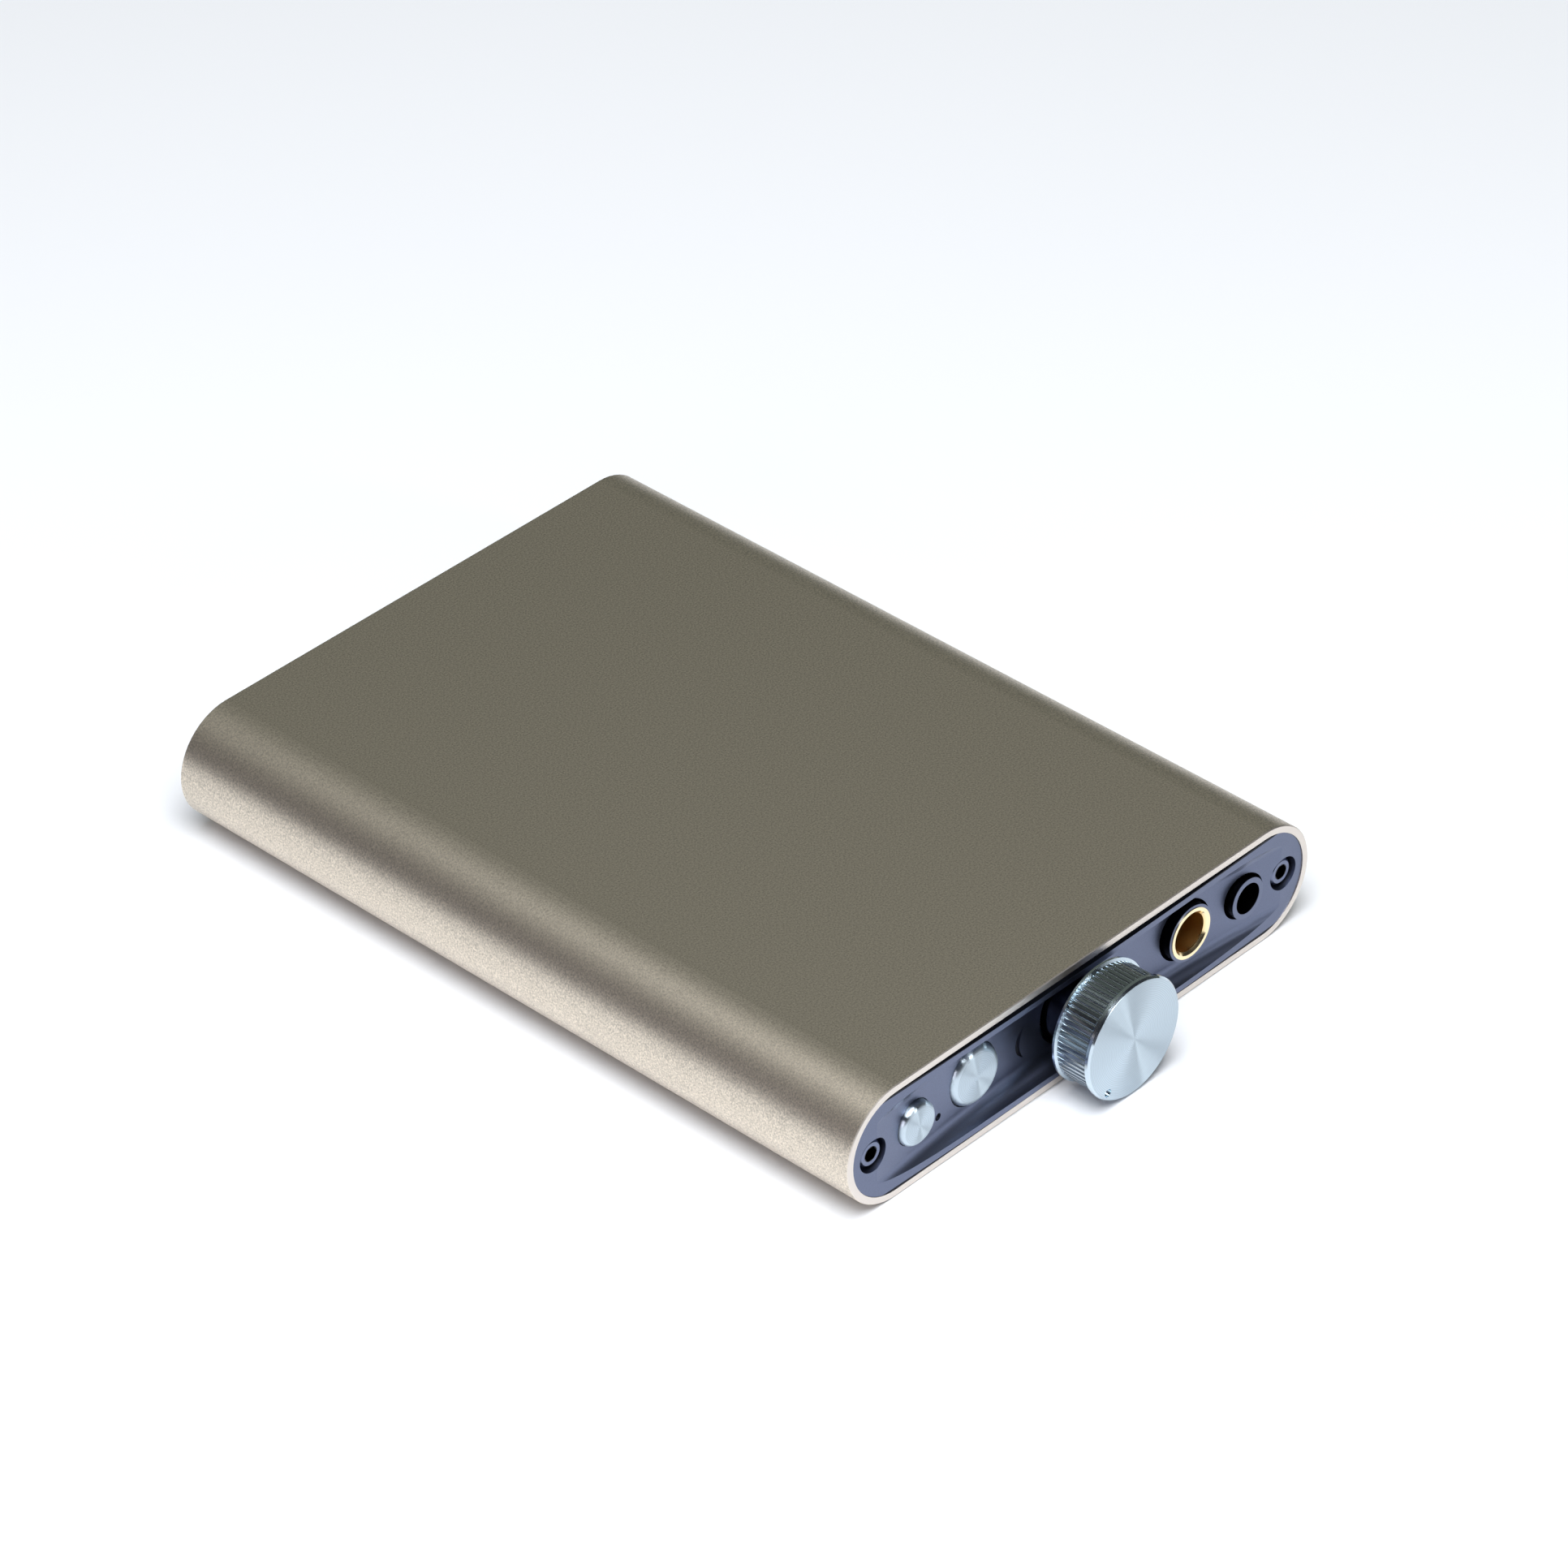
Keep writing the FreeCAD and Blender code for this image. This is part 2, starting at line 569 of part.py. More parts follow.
def push_button(name):
    """A cap with a rounded shoulder and a retaining flange, a switch plunger and the switch behind it."""
    x = f"{name}_x"
    radius = f"{name}_radius"
    face = f"{name}_face"
    barrel = rod(f"{name}_barrel", radius, f"flange_start - {face}", x, behind(face))
    doc.recompute()
    rim = edges_at_depth(barrel.Shape, size[face])
    shoulder = rounded(f"{name}_shoulder", barrel, f"{name}_round", rim)
    flange = rod(f"{name}_flange", f"{radius} + flange_width", "button_flange", x, behind("flange_start"))
    node(join(f"{name}_cap", [shoulder, flange]), name)
    stem_start = "flange_start + button_flange"
    stem = rod(f"{name}_stem", "stem_radius", f"stem_end - ({stem_start})", x, behind(stem_start))
    node(stem, f"{name}_plunger")
    block = box(f"{name}_block", "switch_width", "switch_depth", "switch_height", x, behind("switch_front"),
                BOARD_TOP)
    well = rod(f"{name}_well", "stem_radius + stem_gap", "switch_cavity + over", x,
               behind("switch_front - over"))
    node(cut(f"{name}_case", block, [well]), f"{name}_switch")


# ---------------------------------------------------------------- headphone sockets

def contact_slots(name, x, bore, starts, grow):
    """Blocks just outside a socket's bore: windows when they are grown, contacts when they are shrunk."""
    depth, length, width = (f"contact_{side} + 2 * {grow}" for side in ("depth", "length", "width"))
    low = f"{AXIS_HEIGHT} - ({width}) / 2"
    slots = []
    for number, (start, side) in enumerate(starts):
        middle = f"{x} + {side} * ({bore} + contact_depth / 2)"
        front = behind(f"{start} - ({grow})")
        slots.append(box(f"{name}_{number}", depth, length, width, middle, front, low))
    return slots


def socket_collar(name, x, collar, bore, face):
    """A tube that lines the panel's hole, from its face back to the socket's block."""
    tube = rod(name + "_tube", collar, f"jack_body_front - {face}", x, behind(face))
    hollow = rod(name + "_bore", bore, "jack_body_front + 2 * over", x, behind(f"{face} - over"))
    node(cut(name + "_cut", tube, [hollow]), name)


def small_headphone_socket():
    """A 3.5 mm socket: a collar, a moulded block and three spring contacts in its wall."""
    x = "small_jack_x"
    block = box("small_jack_block", "small_jack_width", "small_jack_length", "small_jack_height", x,
                behind("jack_body_front"), f"{AXIS_HEIGHT} - small_jack_height / 2")
    hollow = rod("small_jack_hollow", "small_jack_bore", "small_jack_length - jack_end_wall + over", x,
                 behind("jack_body_front - over"))
    windows = contact_slots("small_window", x, "small_jack_bore", SMALL_CONTACTS, "contact_gap")
    node(cut("small_jack_cut", block, [hollow] + windows), "headphone_socket")
    springs = contact_slots("small_spring", x, "small_jack_bore", SMALL_CONTACTS, "-contact_gap")
    node(group("small_springs", springs), "headphone_contacts")
    socket_collar("headphone_socket_collar", x, "small_jack_collar", "small_jack_bore", "small_jack_front")


def balanced_headphone_socket():
    """A 4.4 mm socket: block, collar, gold lining ring and five spring contacts."""
    x = "large_jack_x"
    ring_back = "ring_length + large_jack_front"
    block = box("large_jack_block", "large_jack_width", "large_jack_length", "large_jack_height", x,
                behind("jack_body_front"), f"{AXIS_HEIGHT} - large_jack_height / 2")
    hollow = rod("large_jack_hollow", "large_jack_bore", "large_jack_length - jack_end_wall + over", x,
                 behind("jack_body_front - over"))
    ring_seat = rod("ring_seat", "large_jack_ring", f"{ring_back} - jack_body_front + over", x,
                    behind("jack_body_front - over"))
    windows = contact_slots("large_window", x, "large_jack_bore", LARGE_CONTACTS, "contact_gap")
    node(cut("large_jack_cut", block, [hollow, ring_seat] + windows), "balanced_socket")
    springs = contact_slots("large_spring", x, "large_jack_bore", LARGE_CONTACTS, "-contact_gap")
    node(group("large_springs", springs), "balanced_contacts")
    socket_collar("balanced_socket_collar", x, "large_jack_collar", "large_jack_ring", "large_jack_front")
    ring = rod("gold_bar", "large_jack_ring", "ring_length + ring_proud", x,
               behind("large_jack_front - ring_proud"))
    ring_bore = rod("gold_bore", "large_jack_bore", "ring_length + 2 * over", x,
                    behind("large_jack_front - over"))
    mouth = cone("gold_mouth", "large_jack_bore + ring_bevel", "large_jack_bore", "ring_bevel", x,
                 behind("large_jack_front - ring_proud"))
    node(cut("gold_ring", ring, [ring_bore, mouth]), "balanced_socket_ring")


# ---------------------------------------------------------------- indicator lights

def indicator_lights():
    """Light pipes in the panels, each with its light-emitting diode behind it."""
    pipe_length = "light_back - dot_sink"
    node(rod("dot_pipe", "dot_radius", pipe_length, "dot_x", behind("dot_sink"), "light_height"),
         "power_light_pipe")
    for name, side in (("left", "-1"), ("right", "1")):
        node(crescent(name + "_arc_pipe", behind("arc_sink"), "light_back - arc_sink", side),
             name + "_light_pipe")
    lit = ("dot_x", "arc_thickness / 2 - arc_reach", "arc_reach - arc_thickness / 2")
    leds = [box(f"front_led_{number}", "led_size", "led_size", "led_height", x, behind("light_back"),
                BOARD_TOP) for number, x in enumerate(lit)]
    node(group("front_led_group", leds), "front_leds")
    start = f"{REAR} - rear_inset - rear_depth"
    node(rod("rear_pipe_rod", "dot_radius", "rear_depth - rear_light_sink", "0", start, "port_z"),
         "rear_light_pipe")
    node(box("rear_led_chip", "led_size", "led_size", "led_height", "0", f"{start} - led_size", BOARD_TOP),
         "rear_led")


# ---------------------------------------------------------------- circuit board

def main_board():
    """The board, notched at its front edge for the volume control and the balanced socket."""
    plate = box("board_plate", "2 * board_half_width", "board_back - board_front", "board_thickness", "0",
                behind("board_front"), "board_bottom")
    pot_notch = box("pot_notch", "pot_width + 2 * notch_gap", "pot_front + pot_depth + notch_gap",
                    "case_height", "0", behind("0"), "0")
    jack_notch = box("jack_notch", "large_jack_width + 2 * notch_gap", "notch_back", "case_height",
                     "large_jack_x", behind("0"), "0")
    return cut("board_cut", plate, [pot_notch, jack_notch])


def chip(name, width, length, height, x, depth):
    return box(name, width, length, height, x, behind(depth), BOARD_TOP)


def chips_on_grid(name, kind, columns, rows):
    """Equal chips at each column and row of a grid; kind is the start of their dimensions' names."""
    return [chip(f"{name}_{row}_{column}", f"{kind}_width", f"{kind}_length", f"{kind}_height",
                 f"{kind}_x + {column} * {kind}_pitch_x", f"{kind}_row + {row} * {kind}_pitch_y")
            for row in range(rows) for column in range(columns)]


def chip_pair(name, kind):
    """Two equal chips, one on each side of the board."""
    return [chip(f"{name}_{side}", f"{kind}_width", f"{kind}_length", f"{kind}_height", f"{sign}{kind}_x",
                 f"{kind}_row") for side, sign in (("left", "-"), ("right", ""))]


def board_parts():
    node(main_board(), "main_board")
    node(chip("dac_block", "dac_size", "dac_size", "chip_height", "0", "dac_row"), "dac_chip")
    node(chip("usb_block", "usb_chip_size", "usb_chip_size", "chip_height", "0", "usb_row"), "usb_chip")
    node(group("amp_group", chip_pair("amp_block", "amp")), "amplifier_chips")
    node(group("clock_group", chip_pair("clock_block", "clock")), "clock_oscillators")
    node(group("film_group", chips_on_grid("film_block", "film", 4, 2)), "film_capacitors")
    cans = [upright(f"can_{row}_{column}", "can_radius", "can_height", f"can_x + {column} * can_pitch_x",
                    behind(f"can_row + {row} * can_pitch_y"), BOARD_TOP)
            for row in range(2) for column in range(3)]
    node(group("can_group", cans), "can_capacitors")
    node(chip("inductor_block", "inductor_size", "inductor_size", "inductor_height", "inductor_x",
              "inductor_row"), "power_inductor")


# ---------------------------------------------------------------- battery

def battery_pack():
    cell = box("battery_block", "battery_width", "battery_length", "battery_height", "0",
               behind("battery_front"), "battery_bottom")
    doc.recompute()
    return rounded("battery_cell", cell, "battery_corner", edges_along(cell.Shape, Vector(0, 1, 0)))


def battery_lead(name, x):
    """One insulated wire: forward out of the cell, round a bend, and down into its plug."""
    height = "battery_bottom + battery_height / 2"
    front = behind("battery_front")
    run = rod(name + "_run", "lead_radius", "lead_run", x, f"{front} - lead_run", height)
    bend = doc.addObject("Part::Torus", name + "_bend")
    bind(bend, Radius1="lead_bend", Radius2="lead_radius")
    bend.Angle3 = 90
    turn = FreeCAD.Rotation(Vector(0, 0, 1), Vector(1, 0, 0))
    turn = turn.multiply(FreeCAD.Rotation(Vector(0, 0, 1), 180))
    place(bend, x, f"{front} - lead_run", f"{height} - lead_bend", turn)
    drop_bottom = f"{BOARD_TOP} + plug_height"
    drop = upright(name + "_drop", "lead_radius", f"{height} - lead_bend - ({drop_bottom})", x,
                   f"{front} - lead_run - lead_bend", drop_bottom)
    return join(name, [run, bend, drop])


def battery():
    node(battery_pack(), "battery_pack")
    pad_front = behind("battery_front + pad_offset")
    node(box("pad_block", "pad_width", "pad_length", "pad_height", "0", pad_front,
             "battery_bottom + battery_height"), "battery_pad")
    node(battery_lead("red_wire", "lead_x - lead_pitch / 2"), "battery_lead_red")
    node(battery_lead("black_wire", "lead_x + lead_pitch / 2"), "battery_lead_black")
    node(box("plug_block", "plug_width", "plug_depth", "plug_height", "lead_x",
             behind("battery_front - lead_run - lead_bend - plug_depth / 2"), BOARD_TOP), "battery_plug")


# ---------------------------------------------------------------- USB sockets

def usb_socket(name, x):
    """A folded metal shell, closed at the back, around a flat contact tongue."""
    mouth = f"{REAR} - port_inset"
    back = f"{mouth} - port_length"
    floor = f"{back} + port_back"
    shell = stadium(name + "_skin", "port_width", "port_height", "port_length", x, back, "port_z")
    inside = stadium(name + "_space", "port_width - 2 * port_wall", "port_height - 2 * port_wall",
                     "port_length - port_back + over", x, floor, "port_z")
    node(cut(name + "_cut", shell, [inside]), name + "_shell")
    node(box(name + "_blade", "tongue_width", "tongue_length", "tongue_height", x, floor,
             "port_z - tongue_height / 2"), name + "_tongue")


# ---------------------------------------------------------------- assembly and export

node(case_sleeve(), "case_sleeve")
node(front_panel(), "front_panel")
node(rear_panel(), "rear_panel")
node(screws("front_screw_pair", FRONT, "+"), "front_screws")
node(screws("rear_screw_pair", f"{REAR} - rear_inset + panel_inset", "-"), "rear_screws")
volume_control()
push_button("small_button")
push_button("large_button")
small_headphone_socket()
balanced_headphone_socket()
indicator_lights()
board_parts()
battery()
usb_socket("usb_data", "-port_x")
usb_socket("usb_charge", "port_x")
doc.recompute()

for item in doc.Objects:
    if "Invalid" in item.State or "Error" in item.State:
        raise RuntimeError(f"{item.Name} failed: {item.State}")

os.makedirs("parts", exist_ok=True)
for item in nodes:
    if item.Shape.isNull() or not item.Shape.isValid():
        raise RuntimeError(f"{item.Label} has no valid shape")
    item.Shape.exportStep(f"parts/{item.Label}.step")
    extent = item.Shape.BoundBox
    print(f"{item.Label}: {len(item.Shape.Solids)} solids, {item.Shape.Volume:.1f} mm3, "
          f"x {extent.XMin:.2f} to {extent.XMax:.2f}, y {extent.YMin:.2f} to {extent.YMax:.2f}, "
          f"z {extent.ZMin:.2f} to {extent.ZMax:.2f}")
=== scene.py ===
import math

import bpy
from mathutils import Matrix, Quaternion, Vector


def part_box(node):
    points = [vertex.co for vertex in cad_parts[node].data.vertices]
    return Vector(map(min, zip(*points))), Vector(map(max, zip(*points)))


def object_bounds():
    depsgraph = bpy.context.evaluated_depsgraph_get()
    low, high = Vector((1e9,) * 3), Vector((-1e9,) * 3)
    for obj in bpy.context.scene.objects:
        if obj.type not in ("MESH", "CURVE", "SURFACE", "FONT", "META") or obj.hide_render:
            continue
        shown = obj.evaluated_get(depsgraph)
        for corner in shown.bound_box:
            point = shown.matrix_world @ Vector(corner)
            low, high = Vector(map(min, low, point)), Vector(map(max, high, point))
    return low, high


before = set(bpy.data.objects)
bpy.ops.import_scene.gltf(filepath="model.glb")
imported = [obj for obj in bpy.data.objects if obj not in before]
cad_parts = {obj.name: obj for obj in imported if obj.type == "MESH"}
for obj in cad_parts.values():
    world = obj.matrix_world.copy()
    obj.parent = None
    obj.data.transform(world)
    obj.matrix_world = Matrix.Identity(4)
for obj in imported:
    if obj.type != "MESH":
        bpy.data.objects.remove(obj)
CAD_LOW, CAD_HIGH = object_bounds()
CENTRE = (CAD_LOW + CAD_HIGH) / 2

MM = 0.001

# The camera: a long lens that looks down at the object from its front left, angles in degrees
VIEW_AZIMUTH = -46.292
VIEW_ELEVATION = 36.318
VIEW_ROLL = -0.696
VIEW_DISTANCE = 741.5 * MM
VIEW_LENS = 162.19
AIM_OFFSET = Vector((7.66, 4.18, 0.0)) * MM

FLOOR_GAP = 0.02 * MM
FLOOR_SIDE = 2400 * MM

# Where a material changes on a piece, measured from the edges of its own box
END_HIGHLIGHT_WIDTH = 0.11 * MM
END_HIGHLIGHT_BLUR = 0.06 * MM
BEVEL_SHADE_WIDTH = 0.35 * MM
BEVEL_SHADE_BLUR = 0.04 * MM
COLLAR_FACE = 0.03 * MM
COLLAR_BLUR = 0.06 * MM
RING_FACE = 0.05 * MM
RING_BLUR = 0.45 * MM
TURNED_FACE = 0.02 * MM
TURNED_BLUR = 0.03 * MM
SCREW_RADIUS = 1.5 * MM
HEX_RADIUS = 0.86 * MM
HEX_SHADE_BLUR = 0.04 * MM

# The volume knob's wall, measured back from its face
KNURL_START = 0.9 * MM
KNURL_END = 4.6 * MM
KNURL_BLUR = 0.1 * MM
NECK_START = 5.1 * MM
NECK_BLUR = 0.03 * MM

TURNING_PITCH = 0.19 * MM
STREAK_WIDTH = 0.12 * MM


class Finish:
    """A material made of nodes round one Principled shader."""

    def __init__(self, name, **sockets):
        self.material = bpy.data.materials.new(name)
        self.material.use_nodes = True
        self.nodes = self.material.node_tree.nodes
        self.links = self.material.node_tree.links
        self.shader = self.nodes["Principled BSDF"]
        for label, value in sockets.items():
            self.shader.inputs[label.replace("_", " ")].default_value = value
        self.place = self.nodes.new("ShaderNodeTexCoord").outputs["Object"]

    def set(self, socket, value):
        """Link an output to a socket, or put a plain value on it."""
        if isinstance(value, bpy.types.NodeSocket):
            self.links.new(value, socket)
        else:
            socket.default_value = value

    def stretched(self, scale, origin=(0, 0, 0)):
        """The place on the object, from an origin in metres, times a scale of its own for each axis."""
        moved = self.nodes.new("ShaderNodeVectorMath")
        moved.operation = "SUBTRACT"
        self.set(moved.inputs[0], self.place)
        moved.inputs[1].default_value = origin
        scaled = self.nodes.new("ShaderNodeVectorMath")
        scaled.operation = "MULTIPLY"
        self.links.new(moved.outputs[0], scaled.inputs[0])
        scaled.inputs[1].default_value = scale
        return scaled.outputs[0]

    def noise(self, size, detail=2.0, rough=0.5, place=None):
        """Noise whose blotches are about size metres across."""
        texture = self.nodes.new("ShaderNodeTexNoise")
        self.links.new(place or self.place, texture.inputs["Vector"])
        texture.inputs["Scale"].default_value = 1 / size
        texture.inputs["Detail"].default_value = detail
        texture.inputs["Roughness"].default_value = rough
        return texture.outputs["Fac"]

    def maths(self, operation, first, second=0.0):
        node = self.nodes.new("ShaderNodeMath")
        node.operation = operation
        self.set(node.inputs[0], first)
        self.set(node.inputs[1], second)
        return node.outputs[0]

    def between(self, factor, low, high, start=0.0, end=1.0):
        """A number that goes from low to high as the factor goes from start to end."""
        node = self.nodes.new("ShaderNodeMapRange")
        self.set(node.inputs["Value"], factor)
        node.inputs["From Min"].default_value = start
        node.inputs["From Max"].default_value = end
        node.inputs["To Min"].default_value = low
        node.inputs["To Max"].default_value = high
        return node.outputs["Result"]

    def past(self, distance, edge, blur):
        """A mask: 0 up to the edge, and 1 once the distance is past it by the blur."""
        return self.between(distance, 0.0, 1.0, edge, edge + blur)

    def short_of(self, distance, edge, blur):
        """A mask: 1 up to the edge, and 0 once the distance is past it by the blur."""
        return self.between(distance, 1.0, 0.0, edge, edge + blur)

    def mix(self, factor, first, second):
        """A number between two numbers."""
        change = self.maths("SUBTRACT", second, first)
        return self.maths("ADD", self.maths("MULTIPLY", factor, change), first)

    def blend(self, factor, first, second):
        """A colour between two colours."""
        node = self.nodes.new("ShaderNodeMix")
        node.data_type = "RGBA"
        self.set(node.inputs["Factor"], factor)
        self.set(node.inputs["A"], paint(first))
        self.set(node.inputs["B"], paint(second))
        return node.outputs["Result"]

    def axis(self, letter):
        """The place along one axis, in metres."""
        node = self.nodes.new("ShaderNodeSeparateXYZ")
        self.links.new(self.place, node.inputs[0])
        return node.outputs[letter]

    def radius(self, origin):
        """The distance in metres from a line through the origin that runs from front to back."""
        length = self.nodes.new("ShaderNodeVectorMath")
        length.operation = "LENGTH"
        self.links.new(self.stretched((1.0, 0.0, 1.0), origin), length.inputs[0])
        return length.outputs["Value"]

    def offset(self, letter, centre):
        """The distance in metres along one axis from a place on it, on either side."""
        return self.maths("ABSOLUTE", self.maths("SUBTRACT", self.axis(letter), centre))

    def colour(self, value):
        self.set(self.shader.inputs["Base Color"], paint(value))

    def recolour(self, mask, colour):
        """Put another colour where the mask is 1, and keep the present one where it is 0."""
        present = self.shader.inputs["Base Color"].links[0].from_socket
        self.colour(self.blend(mask, present, colour))

    def roughness(self, value):
        self.set(self.shader.inputs["Roughness"], value)

    def bump(self, height, depth):
        """Add relief: height times depth metres."""
        node = self.nodes.new("ShaderNodeBump")
        node.inputs["Strength"].default_value = 1.0
        node.inputs["Distance"].default_value = depth
        self.set(node.inputs["Height"], height)
        self.links.new(node.outputs["Normal"], self.shader.inputs["Normal"])

    def turned(self):
        """Draw the gloss out as turning on a lathe does, round the piece's axis from front to back."""
        tangent = self.nodes.new("ShaderNodeTangent")
        tangent.direction_type = "RADIAL"
        tangent.axis = "Y"
        self.links.new(tangent.outputs["Tangent"], self.shader.inputs["Tangent"])


def paint(value):
    """A colour with its alpha, from three numbers or from an output."""
    if isinstance(value, bpy.types.NodeSocket):
        return value
    return (*value, 1.0)


def shade(colour, factor):
    return tuple(channel * factor for channel in colour)


def dress(material, *names):
    """Give CAD nodes a material."""
    for name in names:
        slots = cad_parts[name].material_slots
        if not slots:
            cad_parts[name].data.materials.append(material)
        for slot in slots:
            slot.material = material


def middle(name):
    """The centre of a CAD node's box."""
    low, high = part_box(name)
    return (low + high) / 2


# ---------------------------------------------------------------- metals

CHAMPAGNE = (0.64, 0.575, 0.485)
END_HIGHLIGHT = (0.74, 0.68, 0.62)
SLATE = (0.15, 0.172, 0.25)
SILVER = (0.60, 0.70, 0.77)
STEEL = (0.56, 0.56, 0.55)
TIN = (0.78, 0.78, 0.76)
CAN = (0.70, 0.70, 0.71)
GOLD = (1.0, 0.84, 0.52)
AMBER = (0.95, 0.62, 0.22)
DARK_AMBER = (0.85, 0.52, 0.17)
BLACK = (0.004, 0.004, 0.005)


def blasted(name, colour, grain, roughness, spread, relief):
    """Bead-blasted, anodised aluminium: a fine even grain that glitters a little."""
    finish = Finish(name, Metallic=1.0)
    fine = finish.noise(grain, detail=4.0, rough=0.75)
    cloud = finish.noise(22 * MM)
    speck = finish.between(fine, 0.0, 1.0, 0.36, 0.64)
    mottled = finish.blend(speck, shade(colour, 1 - spread), shade(colour, 1 + spread))
    finish.colour(finish.blend(finish.between(cloud, 0.0, 0.10), mottled, shade(colour, 0.86)))
    finish.roughness(finish.between(fine, roughness + 0.04, roughness - 0.03, 0.3, 0.7))
    finish.bump(fine, relief)
    return finish


def sleeve_metal():
    """The sleeve's blasted skin, with a painted highlight on its ends: a lighter colour there."""
    finish = blasted("sleeve_metal", CHAMPAGNE, 0.20 * MM, 0.40, spread=0.36, relief=0.006 * MM)
    low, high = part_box("case_sleeve")
    reach = finish.offset("Y", middle("case_sleeve").y)
    # Painted highlight: the end faces and their bevels are coloured lighter to stand in for the light
    # they catch.
    finish.recolour(finish.past(reach, (high.y - low.y) / 2 - END_HIGHLIGHT_WIDTH, END_HIGHLIGHT_BLUR), END_HIGHLIGHT)
    return finish.material


def panel_metal():
    """Satin slate, with painted shade, near black, on the bevels above and below."""
    finish = blasted("panel_metal", SLATE, 0.10 * MM, 0.37, spread=0.06, relief=0.001 * MM)
    low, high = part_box("front_panel")
    reach = finish.offset("Z", middle("front_panel").z)
    bevel_shade = finish.past(reach, (high.z - low.z) / 2 - BEVEL_SHADE_WIDTH, BEVEL_SHADE_BLUR)
    # Painted shade: the bevels along the top and bottom are coloured near black to stand in for the
    # dark line of shade under the sleeve's rim.
    finish.recolour(bevel_shade, shade(SLATE, 0.08))
    return finish.material


def screw_metal():
    """Slate steel heads with painted shade, black, in the hex sockets; the screws stand at equal
    distances left and right.
    """
    finish = Finish("screw_metal", Metallic=1.0)
    wear = finish.noise(0.3 * MM, detail=4.0)
    finish.colour(finish.blend(wear, shade(SLATE, 0.95), shade(SLATE, 1.25)))
    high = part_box("front_screws")[1]
    across = finish.maths("SUBTRACT", finish.offset("X", 0.0), high.x - SCREW_RADIUS)
    up = finish.offset("Z", middle("front_screws").z)
    squares = [finish.maths("MULTIPLY", side, side) for side in (across, up)]
    radius = finish.maths("SQRT", finish.maths("ADD", *squares))
    # Painted shade: the hex sockets are coloured black to stand in for the shade inside them.
    finish.recolour(finish.short_of(radius, HEX_RADIUS, HEX_SHADE_BLUR), BLACK)
    finish.roughness(finish.between(wear, 0.24, 0.36))
    finish.bump(finish.noise(0.08 * MM), 0.002 * MM)
    return finish.material


def collar_metal(name):
    """A slate front face on a black tube."""
    finish = blasted(f"{name}_metal", SLATE, 0.10 * MM, 0.36, spread=0.06, relief=0.0005 * MM)
    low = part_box(name)[0]
    finish.recolour(finish.past(finish.axis("Y"), low.y + COLLAR_FACE, COLLAR_BLUR), BLACK)
    return finish.material


def gold_plate():
    """Polished gold on the ring's face, satin in its bore, with a painted reflection there: a darker
    amber for light bouncing inside the gold.
    """
    finish = Finish("gold_plate", Metallic=1.0)
    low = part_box("balanced_socket_ring")[0]
    haze = finish.noise(0.25 * MM, detail=3.0)
    bore = finish.past(finish.axis("Y"), low.y + RING_FACE, RING_BLUR)
    # Painted reflection: deeper in the bore the gold turns a darker amber, standing in for light
    # bouncing inside it.
    finish.colour(finish.blend(bore, GOLD, finish.blend(haze, AMBER, DARK_AMBER)))
    finish.roughness(finish.mix(bore, 0.14, finish.between(haze, 0.26, 0.38)))
    finish.bump(haze, 0.0006 * MM)
    return finish.material


def turned_silver(name, smooth):
    """Bright aluminium turned on a lathe: fine rings on the face, and a smooth wall."""
    finish = Finish(name, Metallic=1.0, Anisotropic=1.0, Anisotropic_Rotation=0.25)
    radius = finish.radius(middle(name))
    face = finish.short_of(depth_behind_face(finish, name), TURNED_FACE, TURNED_BLUR)
    ring = finish.maths("SINE", finish.maths("MULTIPLY", radius, 2 * math.pi / TURNING_PITCH))
    streak = finish.noise(1.0, detail=3.0, rough=0.7, place=ring_place(finish, radius))
    wobble = finish.noise(0.5 * MM, detail=3.0)
    groove = finish.maths("ADD", finish.maths("MULTIPLY", ring, 0.25), streak)
    glint = finish.between(groove, 0.0, 1.0, 0.1, 0.9)
    bright = finish.blend(glint, shade(SILVER, 0.72), shade(SILVER, 0.98))
    wall = finish.blend(wobble, shade(SILVER, 0.94), SILVER)
    finish.colour(finish.blend(face, wall, bright))
    turned = finish.between(streak, 0.28, 0.38, 0.3, 0.7)
    finish.roughness(finish.mix(face, finish.between(wobble, smooth, smooth + 0.05), turned))
    finish.bump(finish.maths("MULTIPLY", groove, face), 0.003 * MM)
    finish.turned()
    return finish


def knob_metal():
    """Turned silver with painted shade darkening the knurl, and painted shade, a dark slate, on the
    neck between the knob and the panel.
    """
    finish = turned_silver("volume_knob", 0.10)
    depth = depth_behind_face(finish, "volume_knob")
    after = finish.past(depth, KNURL_START, KNURL_BLUR)
    before = finish.short_of(depth, KNURL_END - KNURL_BLUR, KNURL_BLUR)
    # Painted shade: the knurled band is darkened to stand in for the shade in its grooves.
    finish.recolour(finish.maths("MULTIPLY", after, before), shade(SILVER, 0.62))
    # Painted shade: the neck behind the knob is coloured dark slate for the shade between the knob and
    # the panel.
    finish.recolour(finish.past(depth, NECK_START, NECK_BLUR), shade(SLATE, 0.2))
    return finish.material


def depth_behind_face(finish, name):
    """How far behind the front of a piece a place on it is, in metres."""
    return finish.maths("SUBTRACT", finish.axis("Y"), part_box(name)[0].y)


def ring_place(finish, radius):
    """A place that depends on the radius alone, so that noise there makes rings of uneven width."""
    node = finish.nodes.new("ShaderNodeCombineXYZ")
    finish.set(node.inputs["X"], finish.maths("DIVIDE", radius, STREAK_WIDTH))
    return node.outputs[0]


